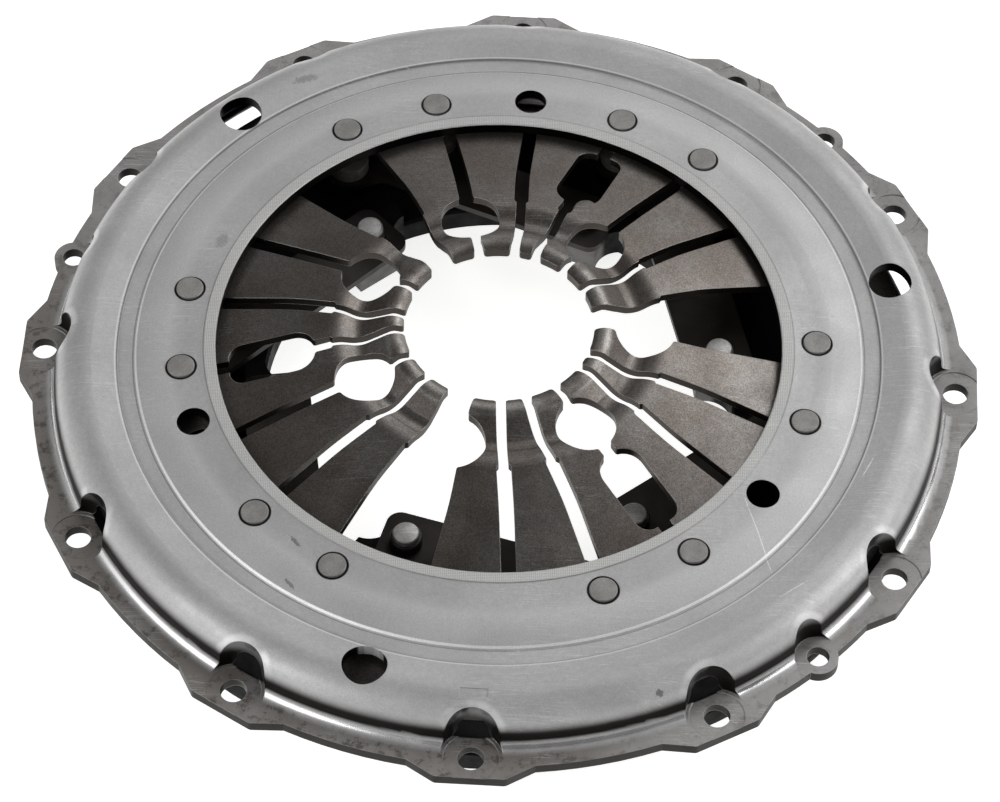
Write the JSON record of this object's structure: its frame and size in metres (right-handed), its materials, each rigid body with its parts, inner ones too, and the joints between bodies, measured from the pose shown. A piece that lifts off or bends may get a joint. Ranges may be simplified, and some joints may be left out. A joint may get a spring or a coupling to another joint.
{
  "type": "clutch pressure plate",
  "caption": "Diaphragm-spring clutch pressure plate: drawn steel cover, slotted release fingers, leaf straps and a cast ring that lifts against the spring.",
  "frame": {"origin": "centre of the flange's mounting face, on the axis of the bolt circle", "axes": "+Z along the axis, from the flywheel side towards the release fingers; +X and +Y lie in the mounting face"},
  "size_m": [0.3988, 0.3988, 0.0572],
  "materials": {
    "cover_steel": "satin drawn sheet",
    "rivet_steel": "matt, oiled",
    "ring_wire": "drawn wire",
    "spring_steel": "dark tempered, shot peened",
    "cast_iron": "cast, with machined faces",
    "bright_rivet": "bright",
    "washer_steel": "black oxide",
    "strap_steel": "blued spring steel"
  },
  "bodies": {
    "cover": {"cover": "cover_steel", "spacer_rivets": "rivet_steel", "fulcrum_ring_upper": "ring_wire", "fulcrum_ring_lower": "ring_wire", "diaphragm_spring": "spring_steel", "strap_1_top": "strap_steel", "strap_1_middle": "strap_steel", "strap_1_bottom": "strap_steel", "strap_2_top": "strap_steel", "strap_2_middle": "strap_steel", "strap_2_bottom": "strap_steel", "strap_3_top": "strap_steel", "strap_3_middle": "strap_steel", "strap_3_bottom": "strap_steel", "strap_4_top": "strap_steel", "strap_4_middle": "strap_steel", "strap_4_bottom": "strap_steel", "strap_5_top": "strap_steel", "strap_5_middle": "strap_steel", "strap_5_bottom": "strap_steel", "strap_6_top": "strap_steel", "strap_6_middle": "strap_steel", "strap_6_bottom": "strap_steel"},
    "plate": {"pressure_plate": "cast_iron", "strap_rivets": "bright_rivet", "strap_washers": "washer_steel"}
  },
  "joints": [
    {"name": "plate_lift", "type": "slide", "parent": "cover", "child": "plate", "axis": [0, 0, 1], "range_m": [0, 0.0045], "stiffness_N_per_m": 200000, "springref_m": -0.005, "deforming": ["diaphragm_spring", "strap_1_top", "strap_1_middle", "strap_1_bottom", "strap_2_top", "strap_2_middle", "strap_2_bottom", "strap_3_top", "strap_3_middle", "strap_3_bottom", "strap_4_top", "strap_4_middle", "strap_4_bottom", "strap_5_top", "strap_5_middle", "strap_5_bottom", "strap_6_top", "strap_6_middle", "strap_6_bottom"]}
  ]
}
